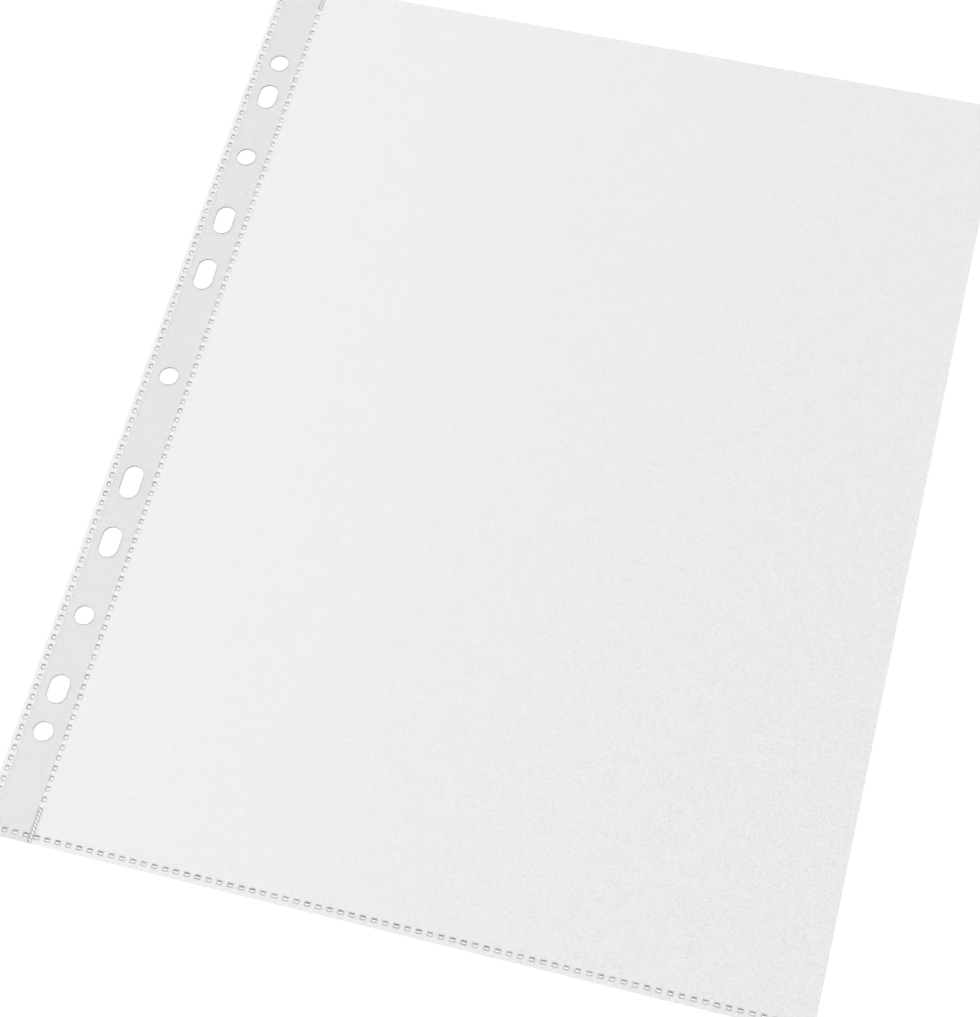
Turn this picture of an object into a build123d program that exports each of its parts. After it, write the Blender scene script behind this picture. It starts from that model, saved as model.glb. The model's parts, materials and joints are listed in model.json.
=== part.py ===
from build123d import *
import os

# A4 punched pocket of grained polypropylene film. One web is folded along the right edge, its two
# layers are joined by dotted weld seams, and a reinforcing strip is trapped along the punched edge.
# Lengths are millimetres. X runs from the punched edge to the fold, Y from the welded bottom to the
# open mouth, and Z up from the surface that the pocket lies on. The origin is on the axis of the
# middle hole, on the underside.

# Overall size and layers
pocket_width = 240.0
pocket_height = 306.0
film_thickness = 0.12
strip_thickness = 0.20

# Reinforcing strip along the punched edge, measured from that edge
strip_inset = 2.9
strip_width = 11.8

# Ring holes: all on one line, in pairs about the middle one
hole_inset = 8.4
hole_diameter = 6.0
inner_slot_offset = 37.5
inner_slot_length = 11.0
middle_slot_offset = 58.0
middle_slot_length = 10.0
inner_round_offset = 82.5
outer_slot_offset = 106.5
outer_slot_length = 9.0
outer_round_offset = 120.0

# Weld marks: flat stamped spots, a little below the film on both faces
weld_pitch = 3.22
weld_recess = 0.04
side_mark_width = 1.2
side_mark_length = 1.6
side_mark_start = 3.85
side_mark_end_margin = 1.0
outer_seam_inset = 1.75
inner_seam_inset = 15.4
bottom_mark_width = 1.7
bottom_mark_length = 1.3
bottom_mark_start = 4.1
bottom_mark_end_margin = 1.0
bottom_seam_inset = 2.2

# Solid bars that end the inner seam at the top and the bottom
end_bar_width = 1.35
bottom_bar_start = 0.3
bottom_bar_length = 10.6
top_bar_length = 9.2
top_bar_end_margin = 0.3
bar_to_side_mark_gap = 0.6
bar_to_bottom_mark_gap = 0.03

# Living hinge beside the inner seam, where the pocket turns like a page
page_hinge_inset = 18.4
page_hinge_clearance = 0.08

# Mouth: the front film lifts from the top of the bottom hem
hem_height = 4.4
mouth_hinge_gap = 0.10
fold_clearance = 0.10

# Places in the model's frame
left_edge = -hole_inset
right_edge = left_edge + pocket_width
bottom_edge = -pocket_height / 2
top_edge = bottom_edge + pocket_height

strip_bottom = film_thickness
front_film_bottom = strip_bottom + strip_thickness
stack_height = front_film_bottom + film_thickness

# Two stacked panels that turn on a line at mid thickness clear each other up to a right angle
page_hinge_gap = stack_height + 2 * page_hinge_clearance
page_hinge_x = left_edge + page_hinge_inset
margin_end = page_hinge_x - page_hinge_gap / 2
pocket_start = page_hinge_x + page_hinge_gap / 2
fold_radius = stack_height / 2
pocket_end = right_edge - fold_radius
hem_top = bottom_edge + hem_height
front_film_start = hem_top + mouth_hinge_gap
front_film_end = pocket_end - fold_clearance


def panel(x_low, x_high, y_low, y_high):
    """A flat rectangle between two X and two Y values."""
    return Pos((x_low + x_high) / 2, (y_low + y_high) / 2) * Rectangle(x_high - x_low, y_high - y_low)


def layer(outline, z_low, thickness):
    """A flat outline raised to a layer of the stack."""
    return extrude(Pos(0, 0, z_low) * outline, thickness)


def ring_holes():
    """The round holes and the slots that binder rings go through, on one line along Y."""
    pairs = [
        (inner_slot_offset, inner_slot_length),
        (middle_slot_offset, middle_slot_length),
        (inner_round_offset, hole_diameter),
        (outer_slot_offset, outer_slot_length),
        (outer_round_offset, hole_diameter),
    ]
    holes = [Circle(hole_diameter / 2)]
    for offset, length in pairs:
        for y in (-offset, offset):
            if length > hole_diameter:
                shape = SlotOverall(length, hole_diameter, rotation=90)
            else:
                shape = Circle(hole_diameter / 2)
            holes.append(Pos(0, y) * shape)
    return holes


def mark_places(first, low, high):
    """Centres of weld marks, one pitch apart from the first, that lie between low and high."""
    count = int((high - first) // weld_pitch) + 1
    return [first + weld_pitch * n for n in range(count) if first + weld_pitch * n >= low]


def side_marks(seam_inset, y_low, y_high):
    """The marks of a seam along the punched edge, whole ones between two heights."""
    half = side_mark_length / 2
    places = mark_places(bottom_edge + side_mark_start, y_low + half, y_high - half)
    x = left_edge + seam_inset
    return [Pos(x, y) * Rectangle(side_mark_width, side_mark_length) for y in places]


def bottom_marks(x_low, x_high):
    """The marks of the bottom seam, whole ones between two X values."""
    half = bottom_mark_width / 2
    places = mark_places(left_edge + bottom_mark_start, x_low + half, x_high - half)
    y = bottom_edge + bottom_seam_inset
    return [Pos(x, y) * Rectangle(bottom_mark_width, bottom_mark_length) for x in places]


def weld(marks):
    """Fused film: fills its cut-outs in every layer, a little below both faces."""
    return layer(Sketch() + marks, weld_recess, stack_height - 2 * weld_recess)


# Weld outlines, which the films and the strip are cut to
seam_bar_x = left_edge + inner_seam_inset
bar_bottom = bottom_edge + bottom_bar_start
bar_top = top_edge - top_bar_end_margin
bottom_bar_top = bar_bottom + bottom_bar_length
top_bar_bottom = bar_top - top_bar_length
bar_low_x = seam_bar_x - end_bar_width / 2
bar_high_x = seam_bar_x + end_bar_width / 2
bottom_bar = panel(bar_low_x, bar_high_x, bar_bottom, bottom_bar_top)
top_bar = panel(bar_low_x, bar_high_x, top_bar_bottom, bar_top)
hem_line_top = bottom_edge + bottom_seam_inset + bottom_mark_length / 2
outer_marks = side_marks(outer_seam_inset, hem_line_top, top_edge - side_mark_end_margin)
inner_marks = side_marks(
    inner_seam_inset, bottom_bar_top + bar_to_side_mark_gap, top_bar_bottom - bar_to_side_mark_gap
)
margin_bottom_marks = bottom_marks(left_edge + bottom_mark_end_margin, bar_low_x - bar_to_bottom_mark_gap)
margin_bottom_marks += bottom_marks(bar_high_x + bar_to_bottom_mark_gap, margin_end)
pocket_bottom_marks = bottom_marks(pocket_start, pocket_end - bottom_mark_end_margin)

# Films and strip of the punched margin
margin_outline = panel(left_edge, margin_end, bottom_edge, top_edge)
margin_outline -= ring_holes()
margin_outline -= outer_marks + inner_marks + margin_bottom_marks + [bottom_bar, top_bar]
back_margin_film = layer(margin_outline, 0, film_thickness)
front_margin_film = layer(margin_outline, front_film_bottom, film_thickness)

strip_start = left_edge + strip_inset
strip_outline = panel(strip_start, strip_start + strip_width, bottom_edge, top_edge)
strip_outline -= ring_holes()
strip_outline -= outer_marks + inner_marks + margin_bottom_marks + [bottom_bar, top_bar]
binding_strip = layer(strip_outline, strip_bottom, strip_thickness)

# Flexing film beside the inner seam
hinge_outline = panel(margin_end, pocket_start, bottom_edge, top_edge)
back_living_hinge = layer(hinge_outline, 0, film_thickness)
front_living_hinge = layer(hinge_outline, front_film_bottom, film_thickness)

# Films of the pocket
back_outline = panel(pocket_start, pocket_end, bottom_edge, top_edge)
back_outline -= pocket_bottom_marks
back_film = layer(back_outline, 0, film_thickness)

hem_outline = panel(pocket_start, pocket_end, bottom_edge, hem_top)
hem_outline -= pocket_bottom_marks
front_bottom_hem = layer(hem_outline, front_film_bottom, film_thickness)

front_outline = panel(pocket_start, front_film_end, front_film_start, top_edge)
front_film = layer(front_outline, front_film_bottom, film_thickness)

# Crease of the folded web: a half-round bead along the right edge
crease_arc = CenterArc((0, 0), fold_radius, -90, 180)
crease_section = make_face(crease_arc + Line(crease_arc @ 1, crease_arc @ 0))
crease_plane = Plane(origin=(pocket_end, top_edge, fold_radius), x_dir=(1, 0, 0), z_dir=(0, -1, 0))
right_fold = extrude(crease_plane * crease_section, pocket_height)

parts = {
    "binding_strip": binding_strip,
    "front_margin_film": front_margin_film,
    "back_margin_film": back_margin_film,
    "outer_seam_welds": weld(outer_marks),
    "inner_seam_welds": weld(inner_marks),
    "inner_seam_bottom_bar": weld([bottom_bar]),
    "inner_seam_top_bar": weld([top_bar]),
    "margin_bottom_welds": weld(margin_bottom_marks),
    "front_living_hinge": front_living_hinge,
    "back_living_hinge": back_living_hinge,
    "back_film": back_film,
    "front_bottom_hem": front_bottom_hem,
    "bottom_seam_welds": weld(pocket_bottom_marks),
    "right_fold": right_fold,
    "front_film": front_film,
}

os.makedirs("parts", exist_ok=True)
for node, shape in parts.items():
    export_step(shape, f"parts/{node}.step")
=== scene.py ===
import json
import math
from collections import namedtuple

import bmesh
import bpy
import numpy as np
from bpy.props import FloatProperty, FloatVectorProperty, PointerProperty
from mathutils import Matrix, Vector


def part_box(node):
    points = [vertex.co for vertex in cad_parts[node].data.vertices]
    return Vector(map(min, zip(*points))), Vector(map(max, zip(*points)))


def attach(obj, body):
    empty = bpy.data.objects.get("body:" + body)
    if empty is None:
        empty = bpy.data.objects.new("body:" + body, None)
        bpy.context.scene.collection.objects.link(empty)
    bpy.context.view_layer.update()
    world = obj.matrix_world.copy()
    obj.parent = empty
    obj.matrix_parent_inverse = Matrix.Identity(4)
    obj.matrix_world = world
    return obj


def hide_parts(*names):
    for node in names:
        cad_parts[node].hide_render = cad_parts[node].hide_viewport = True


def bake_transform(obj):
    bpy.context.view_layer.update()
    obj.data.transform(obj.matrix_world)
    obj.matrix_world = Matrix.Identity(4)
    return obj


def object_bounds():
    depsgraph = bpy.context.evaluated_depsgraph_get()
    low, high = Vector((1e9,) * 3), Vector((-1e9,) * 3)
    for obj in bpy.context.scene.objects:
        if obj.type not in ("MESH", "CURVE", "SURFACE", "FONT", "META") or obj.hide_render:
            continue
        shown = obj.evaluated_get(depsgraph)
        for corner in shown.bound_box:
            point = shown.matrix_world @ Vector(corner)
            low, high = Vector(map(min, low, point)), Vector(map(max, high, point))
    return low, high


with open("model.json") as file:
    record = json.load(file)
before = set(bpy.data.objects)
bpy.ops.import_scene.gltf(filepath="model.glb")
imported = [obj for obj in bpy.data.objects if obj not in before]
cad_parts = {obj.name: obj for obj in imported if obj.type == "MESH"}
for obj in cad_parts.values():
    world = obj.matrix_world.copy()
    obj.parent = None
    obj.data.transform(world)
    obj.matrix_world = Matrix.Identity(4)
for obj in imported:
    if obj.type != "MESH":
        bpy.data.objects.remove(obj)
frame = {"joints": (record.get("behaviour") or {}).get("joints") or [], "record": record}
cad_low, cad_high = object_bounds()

bl_info = {
    "name": "Sheet Protector",
    "version": (1, 0, 0),
    "blender": (4, 5, 0),
    "location": "3D View > Sidebar > Sheet Protector",
    "description": "Dresses the packed model of an A4 punched pocket in grained film, strip and weld marks",
    "category": "Add Mesh",
}

MM = 0.001

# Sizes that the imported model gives
left, bottom = cad_low.x, cad_low.y
right, top = cad_high.x, cad_high.y
stack = cad_high.z
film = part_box("front_film")[1].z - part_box("front_film")[0].z
strip_low, strip_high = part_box("binding_strip")
bar_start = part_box("inner_seam_bottom_bar")[0].x
joint_places = {joint["name"]: Vector(joint["pos_m"]) for joint in frame["joints"]}
hinge_x = joint_places["page_turn"].x
mouth_y = joint_places["mouth_open"].y

# One dotted seam: middle of its first mark, step to the next, how many marks, and one mark's size
Seam = namedtuple("Seam", "first step count size")


def linear(hex_colour):
    """An sRGB hex colour as the linear colour that shaders take."""
    channels = [int(hex_colour[place:place + 2], 16) / 255 for place in (0, 2, 4)]
    low = [channel / 12.92 for channel in channels]
    high = [((channel + 0.055) / 1.055) ** 2.4 for channel in channels]
    return [a if channel <= 0.04045 else b for channel, a, b in zip(channels, low, high)] + [1.0]


def length_setting(name, description, default):
    return FloatProperty(name=name, description=description, default=default, unit="LENGTH", precision=6)


def widths_setting(name, description, default_mm):
    widths = [width * MM for width in default_mm]
    return FloatVectorProperty(
        name=name, description=description, default=widths, unit="LENGTH", size=2, precision=6
    )


def share_setting(name, description, default):
    return FloatProperty(
        name=name, description=description, default=default, subtype="FACTOR", min=0, max=1
    )


def colour_setting(name, description, hex_colour):
    colour = linear(hex_colour)
    return FloatVectorProperty(
        name=name, description=description, default=colour, subtype="COLOR", size=4, min=0, max=1
    )


class FilmSettings(bpy.types.PropertyGroup):
    """The grained film and how it lies."""

    closed_gap: length_setting("Closed gap", "Air between the films of the empty pocket", 0.02 * MM)
    drape: length_setting("Drape", "Width of the slope where the front film leaves the strip", 0.35 * MM)
    bend_width: length_setting("Bend width", "Width of film that bends when the page turns", 1.0 * MM)
    colour: colour_setting("Colour", "Colour of the film", "F5F5F5")
    # The crest colour is painted shade on the crests of the grain, standing in for how the light falls on
    # them
    crest_shade_colour: colour_setting("Crest colour", "Colour of the film on the crests of its grain", "BEBEBE")
    opacity: share_setting("Opacity", "Share of light that one face of the film stops", 0.20)
    pressed_opacity: share_setting("Pressed opacity", "The same where a weld pressed the grain flat", 0.16)
    grain: length_setting("Grain", "Spacing of the rolled grain", 0.42 * MM)
    grain_depth: length_setting("Grain depth", "Depth of the rolled grain", 0.03 * MM)
    # These settings grade the painted grain shade by place, standing in for the lamp's light coming in
    # flatter towards the fold
    shade_shown_from: length_setting("Shown from", "X where the grain begins to show", 0.0)
    shade_shown_to: length_setting("Shown to", "X where the grain shows fully", 180 * MM)
    shade_faded_from: length_setting("Faded from", "Y where the grain begins to fade towards the mouth", -70 * MM)
    shade_faded_to: length_setting("Faded to", "Y where the grain is faintest", 130 * MM)
    faint: share_setting("Faint", "Share of the grain that shows where it is faintest", 0.55)


class StripSettings(bpy.types.PropertyGroup):
    """The reinforcing strip between the films."""

    colour: colour_setting("Colour", "Colour of the strip", "D6D6D6")
    streak_colour: colour_setting("Streak colour", "Colour of the strip's drawn streaks", "D3D3D3")
    # The edge colour is painted shade, for the line along the strip's slit edge and for the walls of the
    # ring holes
    edge_shade_colour: colour_setting("Edge colour", "Colour of a cut edge", "606060")
    opacity: share_setting("Opacity", "Share of light that one face of the strip stops", 0.135)
    # The slit edge's opacity and width give the band of painted shade along the strip's slit edge
    slit_shade_opacity: share_setting("Slit opacity", "Share of light that the strip's slit edge stops", 0.18)
    # How dark the painted shade on the walls of the ring holes is
    punched_shade_opacity: share_setting("Punched opacity", "Share of light that a punched edge stops", 0.85)
    edge_width: length_setting("Edge width", "Width of the line that the slit edge shows", 0.25 * MM)
    streak: length_setting("Streak", "Spacing of the drawn streaks across the strip", 0.8 * MM)
    streak_length: length_setting("Streak length", "Length of the drawn streaks", 60 * MM)


LOW_WALLS = "Widths of the slopes into a mark from its low X and low Y sides"
HIGH_WALLS = "Widths of the slopes into a mark from its high X and high Y sides"


class WeldSettings(bpy.types.PropertyGroup):
    """The dotted weld seams."""

    pitch: length_setting("Pitch", "Distance from mark to mark along a seam", 3.22 * MM)
    side_mark: length_setting("Side mark", "Length of a mark along the side seams", 1.6 * MM)
    bottom_mark: length_setting("Bottom mark", "Length of a mark along the bottom seam", 1.7 * MM)
    bead_width: length_setting("Bead width", "Width of the bead round a mark", 0.06 * MM)
    bead_height: length_setting("Bead height", "Height of the bead round a mark", 0.03 * MM)
    side_low_walls: widths_setting("Side mark's low walls", LOW_WALLS, (0.36, 0.22))
    side_high_walls: widths_setting("Side mark's high walls", HIGH_WALLS, (0.14, 0.38))
    bottom_low_walls: widths_setting("Bottom mark's low walls", LOW_WALLS, (0.24, 0.24))
    bottom_high_walls: widths_setting("Bottom mark's high walls", HIGH_WALLS, (0.26, 0.48))
    bar_low_walls: widths_setting("End bar's low walls", LOW_WALLS, (0.26, 0.14))
    bar_high_walls: widths_setting("End bar's high walls", HIGH_WALLS, (0.30, 0.14))
    recess: length_setting("Recess", "Depth of a mark below the film", 0.10 * MM)
    spot_colour: colour_setting("Spot colour", "Colour of the clear fused spot", "FAFAFA")
    # The rim colour is painted shade on the slopes round each spot, standing in for the light that they bend
    # aside; the knurl's grooves take it too
    rim_shade_colour: colour_setting("Rim colour", "Colour of the slopes round the spot", "3C3E3E")
    spot_opacity: share_setting("Spot opacity", "Share of light that one face of a spot stops", 0.10)
    # The slopes facing Y carry darker painted shade than the others, as shaded and lit copies of one slope
    rim_shade_opacity: share_setting("Rim opacity", "Share of light that a slope along X stops", 0.34)
    shoulder_shade_opacity: share_setting("Shoulder opacity", "Share of light that a slope along Y stops", 0.60)
    # How dark the painted shade in the knurl's grooves is
    knurl_shade_opacity: share_setting("Knurl opacity", "Share of light that the knurl of an end bar stops", 0.34)
    ripple: length_setting("Ripple", "Spacing of the ripple left in the melt", 0.5 * MM)
    press: length_setting("Press", "Distance over which the depth of pressing varies", 4.0 * MM)
    knurl: length_setting("Knurl", "Spacing of the slanting knurl on the end bars", 0.8 * MM)


class StageSettings(bpy.types.PropertyGroup):
    """Floor and light."""

    floor_colour: colour_setting("Floor colour", "Colour of the floor", "FFFFFF")
    floor_glow: share_setting("Floor glow", "Share of white that the floor shows in shadow", 0.8)
    sky: FloatProperty(name="Sky", description="Strength of the light from all round", default=0.71, min=0)
    lamp: FloatProperty(name="Lamp", description="Power of the long lamp", default=4.3, min=0, unit="POWER")


class SheetProtectorSettings(bpy.types.PropertyGroup):
    """All sizes and colours of the sheet protector."""

    film: PointerProperty(type=FilmSettings)
    strip: PointerProperty(type=StripSettings)
    weld: PointerProperty(type=WeldSettings)
    stage: PointerProperty(type=StageSettings)


def settings():
    return bpy.context.scene.sheet_protector


def add_node(tree, kind, inputs=None, **options):
    """Adds a node, sets its options, and sets or links its inputs."""
    node = tree.nodes.new(kind)
    for name, value in options.items():
        setattr(node, name, value)
    for socket, value in (inputs or {}).items():
        if isinstance(value, bpy.types.NodeSocket):
            tree.links.new(value, node.inputs[socket])
        else:
            node.inputs[socket].default_value = value
    return node


# Index of the colour sockets of a Mix node
MIX_FACTOR, MIX_A, MIX_B, MIX_RESULT = 0, 6, 7, 2

# Refractive index of polypropylene
POLYPROPYLENE_IOR = 1.49

# Roughness of each finish, from its smoothest spots to its roughest
FILM_ROUGHNESS = (0.38, 0.55)
STRIP_ROUGHNESS = (0.30, 0.42)
CUT_ROUGHNESS = (0.35, 0.65)
SPOT_ROUGHNESS = (0.08, 0.25)
SLOPE_ROUGHNESS = (0.08, 0.35)

# Heights of the grain, from 0 to 1: its hollows are clearest at their floor and end at their edge, and its
# crests begin at their foot and carry the most painted shade at their top
HOLLOW_FLOOR, HOLLOW_EDGE = 0.22, 0.32
CREST_FOOT, CREST_TOP = 0.57, 0.75

# Values of the pressing noise at which a mark is pressed least and most, and the share of a slope's opacity
# that it then has
PRESS_LOW, PRESS_HIGH = 0.3, 0.7
LEAST_PRESSED, MOST_PRESSED = 0.85, 1.15

# Units of the wave texture after which a diagonal band repeats, and how much the knurl's lines waver
WAVE_REPEAT = 0.444
KNURL_WAVER = 0.6


def grained(tree, opacity):
    """Polypropylene with a rolled grain, whose crests are greyed with painted shade, graded by place as the
    lamp's light falls on the grain: it shows more towards the fold and the bottom seam.
    """
    look = settings().film
    place = add_node(tree, "ShaderNodeTexCoord").outputs["Object"]
    # The real grain is too fine to show in the render, so it is drawn as coarse as it needs to show.
    noise = add_node(tree, "ShaderNodeTexNoise", {"Vector": place, "Scale": 1 / look.grain, "Detail": 1.0})
    height = noise.outputs["Fac"]
    spot = add_node(tree, "ShaderNodeSeparateXYZ", {"Vector": place}).outputs
    # Painted shade of the grain, graded by place: it grows towards the fold and fades towards the mouth
    shade_towards_fold = add_node(tree, "ShaderNodeMapRange", {
        "Value": spot["X"], "From Min": look.shade_shown_from, "From Max": look.shade_shown_to,
    }).outputs["Result"]
    shade_fade_to_mouth = add_node(tree, "ShaderNodeMapRange", {
        "Value": spot["Y"], "From Min": look.shade_faded_from, "From Max": look.shade_faded_to,
        "To Min": 1.0, "To Max": look.faint,
    }).outputs["Result"]
    shown = add_node(tree, "ShaderNodeMath", {0: shade_towards_fold, 1: shade_fade_to_mouth}, operation="MULTIPLY").outputs[0]
    crests = add_node(tree, "ShaderNodeMapRange", {
        "Value": height, "From Min": CREST_FOOT, "From Max": CREST_TOP,
    }).outputs["Result"]
    # The hollows of the grain are smooth and let more light through.
    milkiness = add_node(tree, "ShaderNodeMapRange", {
        "Value": height, "From Min": HOLLOW_FLOOR, "From Max": HOLLOW_EDGE,
        "To Min": opacity / 2, "To Max": opacity,
    }).outputs["Result"]
    # Grey painted shade on the crests of the grain
    painted_crest_shade = add_node(tree, "ShaderNodeMath", {0: crests, 1: shown}, operation="MULTIPLY").outputs[0]
    tint = add_node(
        tree, "ShaderNodeMix", {MIX_FACTOR: painted_crest_shade, MIX_A: look.colour, MIX_B: look.crest_shade_colour},
        data_type="RGBA",
    ).outputs[MIX_RESULT]
    smoothest, roughest = FILM_ROUGHNESS
    satin = add_node(
        tree, "ShaderNodeMapRange", {"Value": height, "To Min": smoothest, "To Max": roughest}
    ).outputs["Result"]
    relief = add_node(
        tree, "ShaderNodeBump", {"Height": height, "Distance": look.grain_depth}
    ).outputs["Normal"]
    return add_node(tree, "ShaderNodeBsdfPrincipled", {
        "Base Color": tint, "Roughness": satin, "IOR": POLYPROPYLENE_IOR, "Alpha": milkiness,
        "Normal": relief,
    })


def film_finish(tree):
    """Cast film, rolled with a fine grain: milky, see-through and satin."""
    return grained(tree, settings().film.opacity)


def pressed_finish(tree):
    """Film between the inner seam's marks, where the sealing bar pressed its grain: a little clearer."""
    return grained(tree, settings().film.pressed_opacity)


def unbroken_finish(tree):
    """Face within the film, where it goes on unbroken into its next piece: nothing shows there."""
    return add_node(tree, "ShaderNodeBsdfPrincipled", {
        "Base Color": settings().film.colour, "IOR": POLYPROPYLENE_IOR, "Alpha": 0.0,
    })


def strip_finish(tree):
    """Drawn and slit polypropylene tape: plain, a little greyer, with faint streaks along its length."""
    look = settings().strip
    place = add_node(tree, "ShaderNodeTexCoord").outputs["Object"]
    stretch = (1 / look.streak, 1 / look.streak_length, 1 / look.streak)
    along = add_node(tree, "ShaderNodeMapping", {"Vector": place, "Scale": stretch}).outputs["Vector"]
    noise = add_node(tree, "ShaderNodeTexNoise", {"Vector": along, "Scale": 1.0, "Detail": 2.0})
    streaks = noise.outputs["Fac"]
    tint = add_node(
        tree, "ShaderNodeMix", {MIX_FACTOR: streaks, MIX_A: look.colour, MIX_B: look.streak_colour},
        data_type="RGBA",
    ).outputs[MIX_RESULT]
    smoothest, roughest = STRIP_ROUGHNESS
    satin = add_node(
        tree, "ShaderNodeMapRange", {"Value": streaks, "To Min": smoothest, "To Max": roughest}
    ).outputs["Result"]
    return add_node(tree, "ShaderNodeBsdfPrincipled", {
        "Base Color": tint, "Roughness": satin, "IOR": POLYPROPYLENE_IOR, "Alpha": look.opacity,
    })


def cut_edge(tree, opacity):
    """Cut polypropylene: a thin grey line of painted shade, standing in for the light that the cut scatters,
    uneven with its burr.
    """
    look = settings().strip
    place = add_node(tree, "ShaderNodeTexCoord").outputs["Object"]
    noise = add_node(tree, "ShaderNodeTexNoise", {"Vector": place, "Scale": 1 / look.streak, "Detail": 2.0})
    smoothest, roughest = CUT_ROUGHNESS
    burr = add_node(
        tree, "ShaderNodeMapRange", {"Value": noise.outputs["Fac"], "To Min": smoothest, "To Max": roughest}
    ).outputs["Result"]
    return add_node(tree, "ShaderNodeBsdfPrincipled", {
        "Base Color": look.edge_shade_colour, "Roughness": burr, "IOR": POLYPROPYLENE_IOR, "Alpha": opacity,
    })


def slit_edge_finish(tree):
    """Long edge of the strip, slit by a knife: a faint line of painted shade under the front film."""
    return cut_edge(tree, settings().strip.slit_shade_opacity)


def punched_edge_finish(tree):
    """Wall of a ring hole, sheared by a punch: dark with painted shade, a dark line on the far side of the
    hole.
    """
    return cut_edge(tree, settings().strip.punched_shade_opacity)


def fused(tree, colour, opacity, roughness):
    """Melted polypropylene with a slight ripple."""
    look = settings().weld
    place = add_node(tree, "ShaderNodeTexCoord").outputs["Object"]
    noise = add_node(tree, "ShaderNodeTexNoise", {"Vector": place, "Scale": 1 / look.ripple, "Detail": 1.0})
    ripple = noise.outputs["Fac"]
    smoothest, roughest = roughness
    gloss = add_node(
        tree, "ShaderNodeMapRange", {"Value": ripple, "To Min": smoothest, "To Max": roughest}
    ).outputs["Result"]
    relief = add_node(
        tree, "ShaderNodeBump", {"Height": ripple, "Distance": look.bead_height}
    ).outputs["Normal"]
    return add_node(tree, "ShaderNodeBsdfPrincipled", {
        "Base Color": colour, "Roughness": gloss, "IOR": POLYPROPYLENE_IOR, "Alpha": opacity,
        "Normal": relief,
    })


def weld_spot_finish(tree):
    """Fused film, stamped flat: the grain is melted away, so it is clear and glossy."""
    look = settings().weld
    return fused(tree, look.spot_colour, look.spot_opacity, SPOT_ROUGHNESS)


def slope(tree, opacity):
    """Slope round a stamped spot: painted shade stands in for the light that it bends aside, more where the
    mark was pressed deeper.
    """
    look = settings().weld
    place = add_node(tree, "ShaderNodeTexCoord").outputs["Object"]
    press = add_node(tree, "ShaderNodeTexNoise", {"Vector": place, "Scale": 1 / look.press, "Detail": 0.0})
    darkness = add_node(tree, "ShaderNodeMapRange", {
        "Value": press.outputs["Fac"], "From Min": PRESS_LOW, "From Max": PRESS_HIGH,
        "To Min": LEAST_PRESSED * opacity, "To Max": MOST_PRESSED * opacity,
    }).outputs["Result"]
    return fused(tree, look.rim_shade_colour, darkness, SLOPE_ROUGHNESS)


def weld_rim_shade_finish(tree):
    """Slope into a stamped spot along X: painted shade draws a faint line."""
    return slope(tree, settings().weld.rim_shade_opacity)


def weld_shoulder_shade_finish(tree):
    """Slope into a stamped spot along Y: a shaded copy of the rim, whose darker painted shade stands in for
    the light that it bends furthest aside, and draws a dark line.
    """
    return slope(tree, settings().weld.shoulder_shade_opacity)


def knurled_bar_finish(tree):
    """Fused film under a knurled sealing bar: clear lands between slanting grooves, greyed with painted
    shade.
    """
    look = settings().weld
    place = add_node(tree, "ShaderNodeTexCoord").outputs["Object"]
    grooves = add_node(
        tree, "ShaderNodeTexWave",
        {"Vector": place, "Scale": WAVE_REPEAT / look.knurl, "Distortion": KNURL_WAVER},
        bands_direction="DIAGONAL",
    ).outputs["Fac"]
    opacity = add_node(tree, "ShaderNodeMapRange", {
        "Value": grooves, "To Min": look.spot_opacity, "To Max": look.knurl_shade_opacity,
    }).outputs["Result"]
    tint = add_node(
        tree, "ShaderNodeMix", {MIX_FACTOR: grooves, MIX_A: look.spot_colour, MIX_B: look.rim_shade_colour},
        data_type="RGBA",
    ).outputs[MIX_RESULT]
    return fused(tree, tint, opacity, SLOPE_ROUGHNESS)


FINISHES = {
    "Grain-rolled polypropylene film": film_finish,
    "Pressed polypropylene film": pressed_finish,
    "Unbroken polypropylene film": unbroken_finish,
    "Drawn polypropylene tape": strip_finish,
    "Slit polypropylene edge": slit_edge_finish,
    "Punched polypropylene edge": punched_edge_finish,
    "Stamped weld spot": weld_spot_finish,
    "Stamped weld rim": weld_rim_shade_finish,
    "Stamped weld shoulder": weld_shoulder_shade_finish,
    "Knurled weld bar": knurled_bar_finish,
}
(
    FILM, PRESSED, UNBROKEN, STRIP, SLIT_EDGE, PUNCHED_EDGE,
    WELD_SPOT, WELD_SHADED_RIM, WELD_SHADED_SHOULDER, KNURLED_BAR,
) = FINISHES


def finish_named(name):
    """The material of one of the finishes, made on its first use."""
    material = bpy.data.materials.get(name)
    if material is None:
        material = bpy.data.materials.new(name)
        material.use_nodes = True
        material.node_tree.nodes.clear()
        shader = FINISHES[name](material.node_tree)
        add_node(material.node_tree, "ShaderNodeOutputMaterial", {"Surface": shader.outputs[0]})
    return material


def new_object(name, mesh):
    thing = bpy.data.objects.new(name, mesh)
    bpy.context.scene.collection.objects.link(thing)
    return thing


def evaluated_mesh(thing):
    """The mesh that an object's modifiers give, as plain data."""
    bpy.context.view_layer.update()
    depsgraph = bpy.context.evaluated_depsgraph_get()
    return bpy.data.meshes.new_from_object(thing.evaluated_get(depsgraph))


def even_lines(low, high, count):
    """Grid lines that divide a width into equal cells."""
    return [low + (high - low) * step / count for step in range(count + 1)]


# Decimals of a metre that grid lines are rounded to, and how close two places on one line are
LINE_DECIMALS = 8
SAME_LINE = 1e-7

# Cells of a sheet's grid: along a flat sheet, along a finer one, across the band beside the inner seam,
# round the fold and across half of the front
FLAT_CELLS = 30
BENDING_CELLS = 60
BEND_CELLS = 16
FOLD_CELLS = 12
BULGE_CELLS = 44


def is_one_of(place, lines):
    """Whether a grid line is one of some lines, to within rounding."""
    return any(math.isclose(place, line, abs_tol=SAME_LINE) for line in lines)


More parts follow.
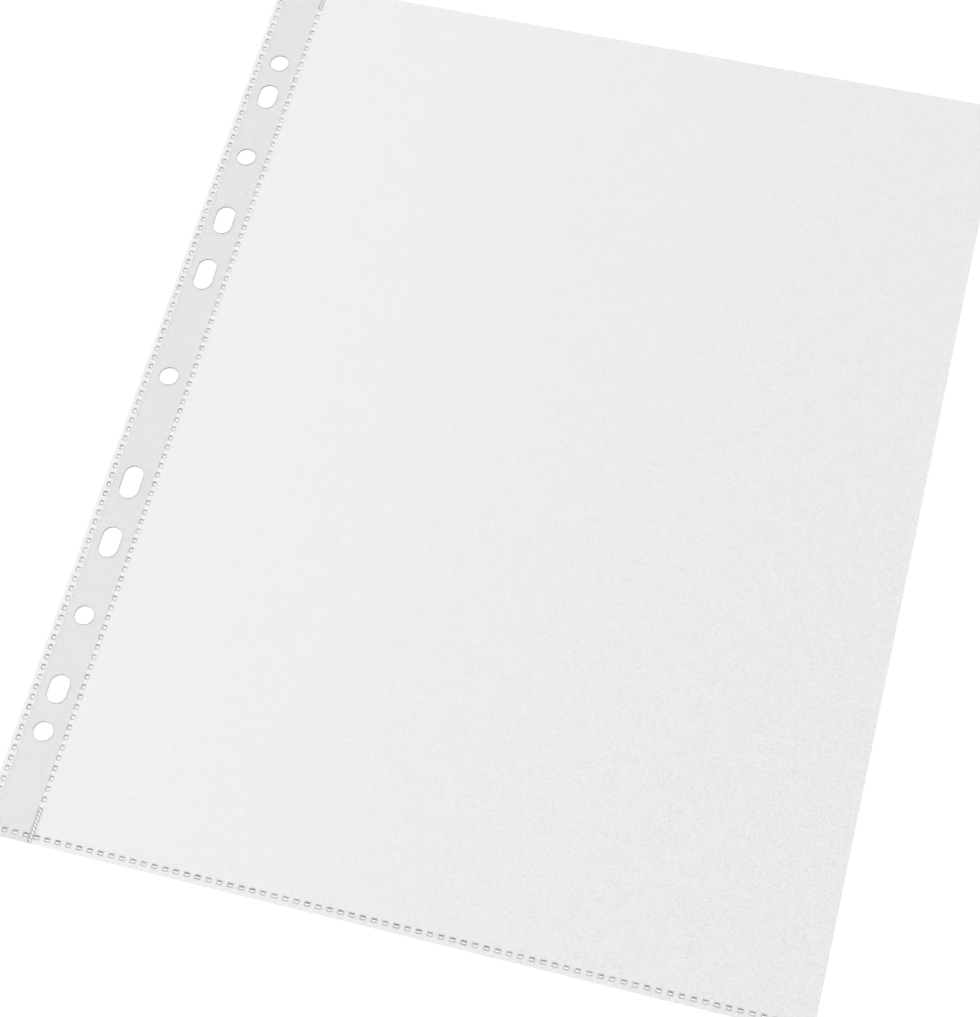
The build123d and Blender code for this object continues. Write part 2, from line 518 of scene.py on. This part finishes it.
def sheet(
    name, columns, rows, place, openings=(), finishes=(FILM,), finish_of=None, joined_u=(), joined_y=()
):
    """A closed thin sheet on a grid. place(u, y, face) gives a point of face 0 or 1 of the sheet, openings
    are (low u, high u, low y, high y) cells left out, and finish_of(u) numbers the finish of a column. At
    the joined lines the film goes on unbroken into its next piece."""
    us = np.array(sorted({round(value, LINE_DECIMALS) for value in columns}))
    ys = np.array(sorted({round(value, LINE_DECIMALS) for value in rows}))
    middle_u, middle_y = (us[1:] + us[:-1]) / 2, (ys[1:] + ys[:-1]) / 2
    solid = np.ones((len(middle_u), len(middle_y)), bool)
    for low_u, high_u, low_y, high_y in openings:
        inside_u = (middle_u > low_u) & (middle_u < high_u)
        inside_y = (middle_y > low_y) & (middle_y < high_y)
        solid[np.ix_(inside_u, inside_y)] = False
    around = np.pad(solid, 1)
    bm = bmesh.new()
    faces = [[[bm.verts.new(place(u, y, face)) for y in ys] for u in us] for face in (0, 1)]
    for i, j in np.argwhere(solid):
        corners = [(i, j), (i + 1, j), (i + 1, j + 1), (i, j + 1)]
        beside = [around[i + 1, j], around[i + 2, j + 1], around[i + 1, j + 2], around[i, j + 1]]
        finish = finish_of(middle_u[i]) if finish_of else 0
        bm.faces.new([faces[1][a][b] for a, b in corners]).material_index = finish
        bm.faces.new([faces[0][a][b] for a, b in reversed(corners)]).material_index = finish
        for (a, b), (c, d), filled in zip(corners, corners[1:] + corners[:1], beside):
            if not filled:
                wall = bm.faces.new([faces[0][a][b], faces[0][c][d], faces[1][c][d], faces[1][a][b]])
                joined = (a == c and is_one_of(us[a], joined_u)) or (b == d and is_one_of(ys[b], joined_y))
                wall.material_index = len(finishes) if joined else finish
    bmesh.ops.delete(bm, geom=[vert for vert in bm.verts if not vert.link_faces], context="VERTS")
    mesh = bpy.data.meshes.new(name)
    bm.to_mesh(mesh)
    bm.free()
    used_finishes = (*finishes, UNBROKEN) if joined_u or joined_y else finishes
    for finish in used_finishes:
        mesh.materials.append(finish_named(finish))
    return new_object(name, mesh)


def ring_holes():
    """Middle and length along Y, and radius, of each hole that a binder ring goes through."""
    holes = []
    for mount in frame["record"]["mounts"]:
        sizes = mount["dims"]
        if mount["kind"] == "bore":
            radius = sizes["r_mm"] * MM
            holes.append((mount["pos_m"][1], 2 * radius, radius))
        elif "slot_length_mm" in sizes:
            for side in (-0.5, 0.5):
                place = side * sizes["spacing_y_mm"] * MM
                holes.append((place, sizes["slot_length_mm"] * MM, sizes["hole_r_mm"] * MM))
    return holes


def hole_cutter():
    """Upright pegs in the shape of the ring holes, taller than the stack."""
    half_turn_steps = 24
    bm = bmesh.new()
    for middle, length, radius in ring_holes():
        # The half circles of a round hole share their end points, and those of a slot don't.
        points = half_turn_steps + 1 if length > 2 * radius else half_turn_steps
        outline = []
        for end in (1, -1):
            centre = middle + end * (length / 2 - radius)
            for step in range(points):
                angle = math.pi * step / half_turn_steps + (0 if end > 0 else math.pi)
                outline.append((radius * math.cos(angle), centre + radius * math.sin(angle)))
        base = bm.faces.new([bm.verts.new((x, y, -stack)) for x, y in outline])
        raised = bmesh.ops.extrude_face_region(bm, geom=[base])["geom"]
        tops = [part for part in raised if isinstance(part, bmesh.types.BMVert)]
        bmesh.ops.translate(bm, verts=tops, vec=(0, 0, 3 * stack))
    bmesh.ops.recalc_face_normals(bm, faces=bm.faces)
    mesh = bpy.data.meshes.new("ring_hole_pegs")
    bm.to_mesh(mesh)
    bm.free()
    mesh.materials.append(finish_named(PUNCHED_EDGE))
    return new_object("ring_hole_pegs", mesh)


def punch(thing):
    """Cuts the ring holes out of a sheet, with the cut edge's finish, dark with painted shade, on their
    walls.
    """
    cutter = hole_cutter()
    cut = thing.modifiers.new("Ring holes", "BOOLEAN")
    cut.operation = "DIFFERENCE"
    cut.solver = "EXACT"
    cut.material_mode = "TRANSFER"
    cut.object = cutter
    plain, punched = thing.data, evaluated_mesh(thing)
    thing.modifiers.clear()
    thing.data = punched
    punched.name = thing.name
    bpy.data.meshes.remove(plain)
    bpy.data.meshes.remove(cutter.data)


def closed_stack():
    """Height of the two films where they lie on each other."""
    return 2 * film + settings().film.closed_gap


def front_underside(x):
    """Height of the front film's underside: on the strip, and down on the back film beside it."""
    low = closed_stack() - film
    places = [strip_low.x - settings().film.drape, strip_low.x, strip_high.x, bar_start]
    return float(np.interp(x, places, [low, strip_high.z, strip_high.z, low]))


def front_place(x, y, face):
    return (x, y, front_underside(x) + face * film)


def back_place(x, y, face):
    return (x, y, face * film)


def bend_edges():
    """Low and high X of the film that bends beside the inner seam."""
    half = settings().film.bend_width / 2
    return hinge_x - half, hinge_x + half


def seam_along(node, axis):
    """The seam of a CAD node of weld marks that runs along axis 0, X, or 1, Y."""
    low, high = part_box(node)
    weld = settings().weld
    size = high - low
    span = size[axis] - (weld.bottom_mark, weld.side_mark)[axis]
    size[axis] -= span
    count = round(span / weld.pitch) + 1
    first = (low + high) / 2
    first[axis] -= span / 2
    step = Vector((0, 0, 0))
    step[axis] = span / (count - 1)
    return Seam(first, step, count, size)


def end_bar(node):
    """A single weld bar as a seam of one mark."""
    low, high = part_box(node)
    return Seam((low + high) / 2, Vector((0, 0, 0)), 1, high - low)


def margin_seams():
    """The seams of the punched margin."""
    return {
        "weld_marks_outer_seam": seam_along("outer_seam_welds", 1),
        "weld_marks_inner_seam": seam_along("inner_seam_welds", 1),
        "weld_marks_margin_bottom": seam_along("margin_bottom_welds", 0),
        "weld_bar_bottom": end_bar("inner_seam_bottom_bar"),
        "weld_bar_top": end_bar("inner_seam_top_bar"),
    }


def mark_cells(seams):
    """The rectangles that the marks of some seams take out of a film."""
    cells = []
    for seam in seams:
        for number in range(seam.count):
            middle = seam.first + number * seam.step
            low, high = middle - seam.size / 2, middle + seam.size / 2
            cells.append((low.x, high.x, low.y, high.y))
    return cells


def grid_lines(cells):
    """The X and Y lines that bound some rectangles."""
    return [x for cell in cells for x in cell[:2]], [y for cell in cells for y in cell[2:]]


def declared(piece, body, node):
    """Lets a flat sheet ride on a body in the place of a CAD node."""
    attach(piece, body)
    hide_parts(node)


class SHEETPROTECTOR_OT_strip(bpy.types.Operator):
    """Make the reinforcing strip that lies between the films along the punched edge"""

    bl_idname = "sheet_protector.strip"
    bl_label = "Reinforcing Strip"

    def execute(self, context):
        # A band of painted shade along the strip's slit edge, under the front film's drape
        edge = strip_low.x + settings().strip.edge_width
        cells = mark_cells([margin_seams()["weld_marks_margin_bottom"]])
        lines_x, lines_y = grid_lines(cells)
        columns = [strip_low.x, edge, strip_high.x] + [x for x in lines_x if x < strip_high.x]
        rows = even_lines(bottom, top, FLAT_CELLS) + lines_y

        def place(x, y, face):
            return (x, y, strip_high.z if face else strip_low.z)

        def finish_of(x):
            return int(x < edge)

        piece = sheet("strip_tape", columns, rows, place, cells, (STRIP, SLIT_EDGE), finish_of)
        punch(piece)
        declared(piece, "binding_edge", "binding_strip")
        return {"FINISHED"}


class SHEETPROTECTOR_OT_margin_films(bpy.types.Operator):
    """Make the front and back films of the punched margin, cut out for the weld marks and ring holes"""

    bl_idname = "sheet_protector.margin_films"
    bl_label = "Margin Films"

    def execute(self, context):
        seams = margin_seams()
        cells = mark_cells(seams.values())
        lines_x, lines_y = grid_lines(cells)
        margin_end = bend_edges()[0]
        drape_start = strip_low.x - settings().film.drape
        columns = [left, drape_start, strip_low.x, strip_high.x, margin_end] + lines_x
        rows = [bottom, top] + lines_y
        inner_seam = seams["weld_marks_inner_seam"]

        def finish_of(x):
            return int(abs(x - inner_seam.first.x) < inner_seam.size.x / 2)

        for side, place in (("front", front_place), ("back", back_place)):
            name, node = f"margin_film_{side}", f"{side}_margin_film"
            piece = sheet(name, columns, rows, place, cells, (FILM, PRESSED), finish_of, [margin_end])
            punch(piece)
            declared(piece, "binding_edge", node)
        return {"FINISHED"}


class SHEETPROTECTOR_OT_bend_films(bpy.types.Operator):
    """Make the two bands of film beside the inner seam, where the page turns"""

    bl_idname = "sheet_protector.bend_films"
    bl_label = "Bending Films"

    def execute(self, context):
        low, high = bend_edges()
        columns, rows = even_lines(low, high, BEND_CELLS), even_lines(bottom, top, BENDING_CELLS)
        for side, place in (("front", front_place), ("back", back_place)):
            piece = sheet(f"bend_film_{side}", columns, rows, place, joined_u=[low, high])
            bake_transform(piece)
            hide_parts(f"{side}_living_hinge")
        return {"FINISHED"}


class SHEETPROTECTOR_OT_pocket_back(bpy.types.Operator):
    """Make the back film of the pocket, the front film's hem at the bottom seam, and the folded edge"""

    bl_idname = "sheet_protector.pocket_back"
    bl_label = "Pocket Back"

    def execute(self, context):
        start = bend_edges()[1]
        fold_radius = closed_stack() / 2
        fold_x = right - fold_radius
        cells = mark_cells([seam_along("bottom_seam_welds", 0)])
        lines_x, lines_y = grid_lines(cells)
        columns = [start, fold_x] + lines_x

        def fold_place(angle, y, face):
            radius = fold_radius - face * film
            return (fold_x + radius * math.cos(angle), y, fold_radius + radius * math.sin(angle))

        angles = even_lines(-math.pi / 2, math.pi / 2, FOLD_CELLS)
        rows = even_lines(bottom, top, BENDING_CELLS)
        fold = sheet("pocket_fold", angles, rows, fold_place, joined_u=[angles[0], angles[-1]])
        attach(fold, "pocket")
        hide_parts("right_fold")
        ends = [start, fold_x]
        rows = [bottom, mouth_y] + lines_y
        hem = sheet("pocket_hem_front", columns, rows, front_place, cells, joined_u=ends, joined_y=[mouth_y])
        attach(hem, "pocket")
        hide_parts("front_bottom_hem")
        rows = [bottom] + even_lines(mouth_y, top, FLAT_CELLS) + lines_y
        back = sheet("pocket_film_back", columns, rows, back_place, cells, joined_u=ends)
        declared(back, "pocket", "back_film")
        return {"FINISHED"}


class SHEETPROTECTOR_OT_pocket_front(bpy.types.Operator):
    """Make the front film of the pocket in two flat halves, which meet in the middle"""

    bl_idname = "sheet_protector.pocket_front"
    bl_label = "Pocket Front"

    def execute(self, context):
        start, fold_x = bend_edges()[1], right - closed_stack() / 2
        middle = (start + fold_x) / 2
        rows = even_lines(mouth_y, top, BENDING_CELLS)
        for side, edge in (("left", start), ("right", fold_x)):
            name, ends = f"pocket_film_front_{side}", [edge, middle]
            columns = even_lines(edge, middle, BULGE_CELLS)
            piece = sheet(name, columns, rows, front_place, joined_u=ends, joined_y=[mouth_y])
            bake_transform(piece)
            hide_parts("front_film")
        return {"FINISHED"}


# Inputs of the weld marks' node tree
WELD_INPUTS = {
    "Count": "NodeSocketInt",
    "First Mark": "NodeSocketVector",
    "Step": "NodeSocketVector",
    "Size": "NodeSocketVector",
    "Bead Width": "NodeSocketFloat",
    "Bead Height": "NodeSocketFloat",
    "Low Walls": "NodeSocketVector",
    "High Walls": "NodeSocketVector",
    "Recess": "NodeSocketFloat",
    "Spot Material": "NodeSocketMaterial",
    "Rim Material": "NodeSocketMaterial",
    "Shoulder Material": "NodeSocketMaterial",
}

# Share of a face's normal along Z past which it lies level, and along Y past which a slope faces along Y
LEVEL = 0.5
FACING_Y = 0.05


def weld_tree():
    """Geometry nodes that repeat one stamped mark along a line: a block whose top has a bead, sloping walls
    and a flat spot, and whose underside has a shallower spot. Returns the tree and the identifiers of its
    inputs."""
    tree = bpy.data.node_groups.new("Weld marks", "GeometryNodeTree")
    keys = {}
    for name, kind in WELD_INPUTS.items():
        keys[name] = tree.interface.new_socket(name, in_out="INPUT", socket_type=kind).identifier
    tree.interface.new_socket("Marks", in_out="OUTPUT", socket_type="NodeSocketGeometry")
    given = add_node(tree, "NodeGroupInput").outputs

    def stamped(mesh, chosen, height, old_size, new_size, aside=(0, 0, 0)):
        """Moves the chosen faces out by a height, or in where it is negative, with new walls round them,
        shrinks them from their old size to a new one, and shifts them aside. Returns the mesh, those faces
        and the walls."""
        raised = add_node(tree, "GeometryNodeExtrudeMesh", {
            "Mesh": mesh, "Selection": chosen, "Offset Scale": height,
        }).outputs
        share = add_node(
            tree, "ShaderNodeVectorMath", {0: new_size, 1: old_size}, operation="DIVIDE"
        ).outputs["Vector"]
        place = add_node(tree, "GeometryNodeInputPosition").outputs["Position"]
        new_place = add_node(
            tree, "ShaderNodeVectorMath", {0: place, 1: share, 2: aside}, operation="MULTIPLY_ADD"
        ).outputs["Vector"]
        moved = add_node(tree, "GeometryNodeSetPosition", {
            "Geometry": raised["Mesh"], "Selection": raised["Top"], "Position": new_place,
        }).outputs["Geometry"]
        return moved, raised["Top"], raised["Side"]

    both_sides = (2, 2, 0)
    beads = add_node(
        tree, "ShaderNodeVectorMath", {0: both_sides, "Scale": given["Bead Width"]}, operation="SCALE"
    ).outputs["Vector"]
    crest_size = add_node(
        tree, "ShaderNodeVectorMath", {0: given["Size"], 1: beads}, operation="SUBTRACT"
    ).outputs["Vector"]
    slopes = add_node(
        tree, "ShaderNodeVectorMath", {0: given["Low Walls"], 1: given["High Walls"]}, operation="ADD"
    ).outputs["Vector"]
    spot_size = add_node(
        tree, "ShaderNodeVectorMath", {0: crest_size, 1: slopes}, operation="SUBTRACT"
    ).outputs["Vector"]
    difference = add_node(
        tree, "ShaderNodeVectorMath", {0: given["Low Walls"], 1: given["High Walls"]}, operation="SUBTRACT"
    ).outputs["Vector"]
    lean = add_node(
        tree, "ShaderNodeVectorMath", {0: difference, "Scale": 0.5}, operation="SCALE"
    ).outputs["Vector"]

    normal = add_node(tree, "GeometryNodeInputNormal").outputs["Normal"]
    facing = add_node(tree, "ShaderNodeSeparateXYZ", {"Vector": normal}).outputs
    is_top = add_node(
        tree, "FunctionNodeCompare", {0: facing["Z"], 1: LEVEL}, operation="GREATER_THAN"
    ).outputs[0]
    is_under = add_node(
        tree, "FunctionNodeCompare", {0: facing["Z"], 1: -LEVEL}, operation="LESS_THAN"
    ).outputs[0]
    along_y = add_node(tree, "ShaderNodeMath", {0: facing["Y"]}, operation="ABSOLUTE").outputs[0]
    faces_y = add_node(
        tree, "FunctionNodeCompare", {0: along_y, 1: FACING_Y}, operation="GREATER_THAN"
    ).outputs[0]
    depth = add_node(
        tree, "ShaderNodeMath", {0: given["Recess"], 1: given["Bead Height"]}, operation="ADD"
    ).outputs[0]
    down = add_node(tree, "ShaderNodeMath", {0: depth, 1: -1.0}, operation="MULTIPLY").outputs[0]
    half_down = add_node(
        tree, "ShaderNodeMath", {0: given["Recess"], 1: -0.5}, operation="MULTIPLY"
    ).outputs[0]

    mesh = add_node(tree, "GeometryNodeMeshCube", {"Size": given["Size"]}).outputs["Mesh"]
    mesh, under_spot, _ = stamped(mesh, is_under, half_down, given["Size"], crest_size)
    mesh, crest, _ = stamped(mesh, is_top, given["Bead Height"], given["Size"], crest_size)
    mesh, top_spot, walls = stamped(mesh, crest, down, crest_size, spot_size, lean)
    line = add_node(tree, "GeometryNodeMeshLine", {
        "Count": given["Count"], "Start Location": given["First Mark"], "Offset": given["Step"],
    }).outputs["Mesh"]
    copies = add_node(
        tree, "GeometryNodeInstanceOnPoints", {"Points": line, "Instance": mesh}
    ).outputs["Instances"]
    marks = add_node(tree, "GeometryNodeRealizeInstances", {"Geometry": copies}).outputs["Geometry"]

    # Faces other than the spots get the rim's painted shade, and the walls facing Y get the shoulder's
    # darker painted shade
    is_rim = add_node(
        tree, "FunctionNodeBooleanMath", {0: top_spot, 1: under_spot}, operation="NOR"
    ).outputs[0]
    is_shaded_shoulder = add_node(
        tree, "FunctionNodeBooleanMath", {0: walls, 1: faces_y}, operation="AND"
    ).outputs[0]
    for chosen, material in ((True, "Spot"), (is_rim, "Rim"), (is_shaded_shoulder, "Shoulder")):
        marks = add_node(tree, "GeometryNodeSetMaterial", {
            "Geometry": marks, "Selection": chosen, "Material": given[f"{material} Material"],
        }).outputs["Geometry"]
    add_node(tree, "NodeGroupOutput", {"Marks": marks})
    return tree, keys


def weld_marks(name, seam, height, kind, body, node, tree, keys):
    """A row of stamped marks through a stack of the given height, as one plain mesh. Their kind is side,
    bottom or bar."""
    weld = settings().weld
    values = {
        "Count": seam.count,
        "First Mark": (seam.first.x, seam.first.y, height / 2),
        "Step": tuple(seam.step),
        "Size": (seam.size.x, seam.size.y, height),
        "Bead Width": weld.bead_width,
        "Bead Height": weld.bead_height,
        "Low Walls": (*getattr(weld, f"{kind}_low_walls"), 0),
        "High Walls": (*getattr(weld, f"{kind}_high_walls"), 0),
        "Recess": weld.recess,
        "Spot Material": finish_named(KNURLED_BAR if kind == "bar" else WELD_SPOT),
        "Rim Material": finish_named(WELD_SHADED_RIM),
        "Shoulder Material": finish_named(WELD_SHADED_SHOULDER),
    }
    piece = new_object(name, bpy.data.meshes.new(name))
    modifier = piece.modifiers.new("Weld marks", "NODES")
    modifier.node_group = tree
    for label, value in values.items():
        modifier[keys[label]] = value
    empty, made = piece.data, evaluated_mesh(piece)
    piece.modifiers.clear()
    piece.data = made
    made.name = name
    bpy.data.meshes.remove(empty)
    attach(piece, body)
    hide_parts(node)


class SHEETPROTECTOR_OT_weld_marks(bpy.types.Operator):
    """Stamp the marks of the dotted seams and the bars that end the inner seam"""

    bl_idname = "sheet_protector.weld_marks"
    bl_label = "Weld Marks"

    def execute(self, context):
        tree, keys = weld_tree()
        low = closed_stack()
        seams = margin_seams()
        across = seams["weld_marks_margin_bottom"]
        on_strip = math.ceil((strip_high.x - across.first.x) / across.step.x)
        beside_strip = across.first + on_strip * across.step
        on_strip_seam = across._replace(count=on_strip)
        beside_seam = across._replace(first=beside_strip, count=across.count - on_strip)
        for side in ("outer", "inner"):
            name, node = f"weld_marks_{side}_seam", f"{side}_seam_welds"
            weld_marks(name, seams[name], low, "side", "binding_edge", node, tree, keys)
        for place, seam, height in (("on", on_strip_seam, stack), ("beside", beside_seam, low)):
            name, node = f"weld_marks_{place}_strip", "margin_bottom_welds"
            weld_marks(name, seam, height, "bottom", "binding_edge", node, tree, keys)
        for end in ("bottom", "top"):
            name, node = f"weld_bar_{end}", f"inner_seam_{end}_bar"
            weld_marks(name, seams[name], low, "bar", "binding_edge", node, tree, keys)
        name, node = "weld_marks_pocket_bottom", "bottom_seam_welds"
        weld_marks(name, seam_along(node, 0), low, "bottom", "pocket", node, tree, keys)
        return {"FINISHED"}


# The photograph's frame and the camera that it was taken with, in pixels, millimetres and degrees
photo_width, photo_height = 980, 1017
focal_length = 2427.7
optical_axis_x, optical_axis_y = 430.0, 519.7
camera_place = Vector((214.66, -316.11, 652.51)) * MM
camera_turn = (25.336, 3.850, 15.121)
sensor_width = 36.0
nearest_seen = 10 * MM

# Floor and lamp, in metres
floor_side = 12.0
floor_drop = 0.02 * MM
lamp_place = Vector((-0.65, 0.0, 0.55))
lamp_aim = Vector((0.1, 0.0, 0.0))
lamp_width, lamp_length = 0.5, 1.8


def seen_directly(tree):
    """1 for rays that show the backdrop itself: from the camera, in gloss and through glass."""
    path = add_node(tree, "ShaderNodeLightPath").outputs
    either = add_node(
        tree, "ShaderNodeMath", {0: path["Is Camera Ray"], 1: path["Is Glossy Ray"]}, operation="MAXIMUM"
    )
    return add_node(
        tree, "ShaderNodeMath", {0: either.outputs[0], 1: path["Is Transmission Ray"]}, operation="MAXIMUM"
    ).outputs[0]


def floor_material(stage):
    """Plain white paper floor, which glows nearly white and still takes the object's shadow."""
    material = bpy.data.materials.new("White paper floor")
    material.use_nodes = True
    tree = material.node_tree
    tree.nodes.clear()
    shadow_share = 0.3
    shadow_colour = [channel * shadow_share for channel in stage.floor_colour[:3]] + [1.0]
    plain = add_node(tree, "ShaderNodeBsdfDiffuse", {"Color": stage.floor_colour})
    shade = add_node(tree, "ShaderNodeBsdfDiffuse", {"Color": shadow_colour})
    glow = add_node(tree, "ShaderNodeEmission", {"Color": stage.floor_colour, "Strength": stage.floor_glow})
    shown = add_node(tree, "ShaderNodeAddShader", {0: shade.outputs[0], 1: glow.outputs[0]})
    surface = add_node(
        tree, "ShaderNodeMixShader", {0: seen_directly(tree), 1: plain.outputs[0], 2: shown.outputs[0]}
    )
    add_node(tree, "ShaderNodeOutputMaterial", {"Surface": surface.outputs[0]})
    return material


class SHEETPROTECTOR_OT_stage(bpy.types.Operator):
    """Set up the white floor, the soft light and the camera"""

    bl_idname = "sheet_protector.stage"
    bl_label = "Stage"

    def execute(self, context):
        scene = context.scene
        stage = settings().stage
        half = floor_side / 2
        sides = ((-half, -half), (half, -half), (half, half), (-half, half))
        corners = [(x, y, -floor_drop) for x, y in sides]
        mesh = bpy.data.meshes.new("floor")
        mesh.from_pydata(corners, [], [(0, 1, 2, 3)])
        mesh.materials.append(floor_material(stage))
        new_object("floor", mesh)

        world = bpy.data.worlds.new("Soft white room")
        scene.world = world
        world.use_nodes = True
        tree = world.node_tree
        tree.nodes.clear()
        white = linear("FFFFFF")
        light = add_node(tree, "ShaderNodeBackground", {"Strength": stage.sky, "Color": white})
        backdrop = add_node(tree, "ShaderNodeBackground", {"Strength": 1.0, "Color": white})
        mixed = add_node(tree, "ShaderNodeMixShader", {
            0: seen_directly(tree), 1: light.outputs[0], 2: backdrop.outputs[0],
        })
        add_node(tree, "ShaderNodeOutputWorld", {"Surface": mixed.outputs[0]})

        lamp = bpy.data.lights.new("long_lamp", "AREA")
        lamp.shape = "RECTANGLE"
        lamp.size, lamp.size_y = lamp_width, lamp_length
        lamp.energy = stage.lamp
        lamp_object = new_object("long_lamp", lamp)
        lamp_object.location = lamp_place
        lamp_object.rotation_euler = (lamp_aim - lamp_place).to_track_quat("-Z", "Y").to_euler()
        lamp_object.visible_camera = False

        camera = bpy.data.cameras.new("camera")
        longest = max(photo_width, photo_height)
        camera.sensor_width = sensor_width
        camera.lens = focal_length / longest * sensor_width
        camera.shift_x = (photo_width / 2 - optical_axis_x) / longest
        camera.shift_y = (optical_axis_y - photo_height / 2) / longest
        camera.clip_start = nearest_seen
        camera_object = new_object("camera", camera)
        camera_object.location = camera_place
        camera_object.rotation_euler = [math.radians(angle) for angle in camera_turn]
        scene.camera = camera_object
        scene.view_settings.view_transform = "Standard"
        # A view along a turned page goes through many faces of film.
        scene.cycles.transparent_max_bounces = 32
        return {"FINISHED"}


PIECES = (
    SHEETPROTECTOR_OT_strip,
    SHEETPROTECTOR_OT_bend_films,
    SHEETPROTECTOR_OT_margin_films,
    SHEETPROTECTOR_OT_pocket_back,
    SHEETPROTECTOR_OT_pocket_front,
    SHEETPROTECTOR_OT_weld_marks,
    SHEETPROTECTOR_OT_stage,
)


class SHEETPROTECTOR_PT_panel(bpy.types.Panel):
    """Sizes, colours and pieces of the sheet protector"""

    bl_label = "Sheet Protector"
    bl_space_type = "VIEW_3D"
    bl_region_type = "UI"
    bl_category = "Sheet Protector"

    def draw(self, context):
        for operator in PIECES:
            self.layout.operator(operator.bl_idname)
        for group in (settings().film, settings().strip, settings().weld, settings().stage):
            box = self.layout.box()
            for name in group.__annotations__:
                box.prop(group, name)


CLASSES = (
    FilmSettings,
    StripSettings,
    WeldSettings,
    StageSettings,
    SheetProtectorSettings,
    *PIECES,
    SHEETPROTECTOR_PT_panel,
)


def register():
    for kind in CLASSES:
        bpy.utils.register_class(kind)
    bpy.types.Scene.sheet_protector = PointerProperty(type=SheetProtectorSettings)


def unregister():
    del bpy.types.Scene.sheet_protector
    for kind in reversed(CLASSES):
        bpy.utils.unregister_class(kind)


def main():
    register()
    bpy.ops.sheet_protector.strip()
    bpy.ops.sheet_protector.bend_films()
    bpy.ops.sheet_protector.margin_films()
    bpy.ops.sheet_protector.pocket_back()
    bpy.ops.sheet_protector.pocket_front()
    bpy.ops.sheet_protector.weld_marks()
    bpy.ops.sheet_protector.stage()


if __name__ == "__main__":
    main()
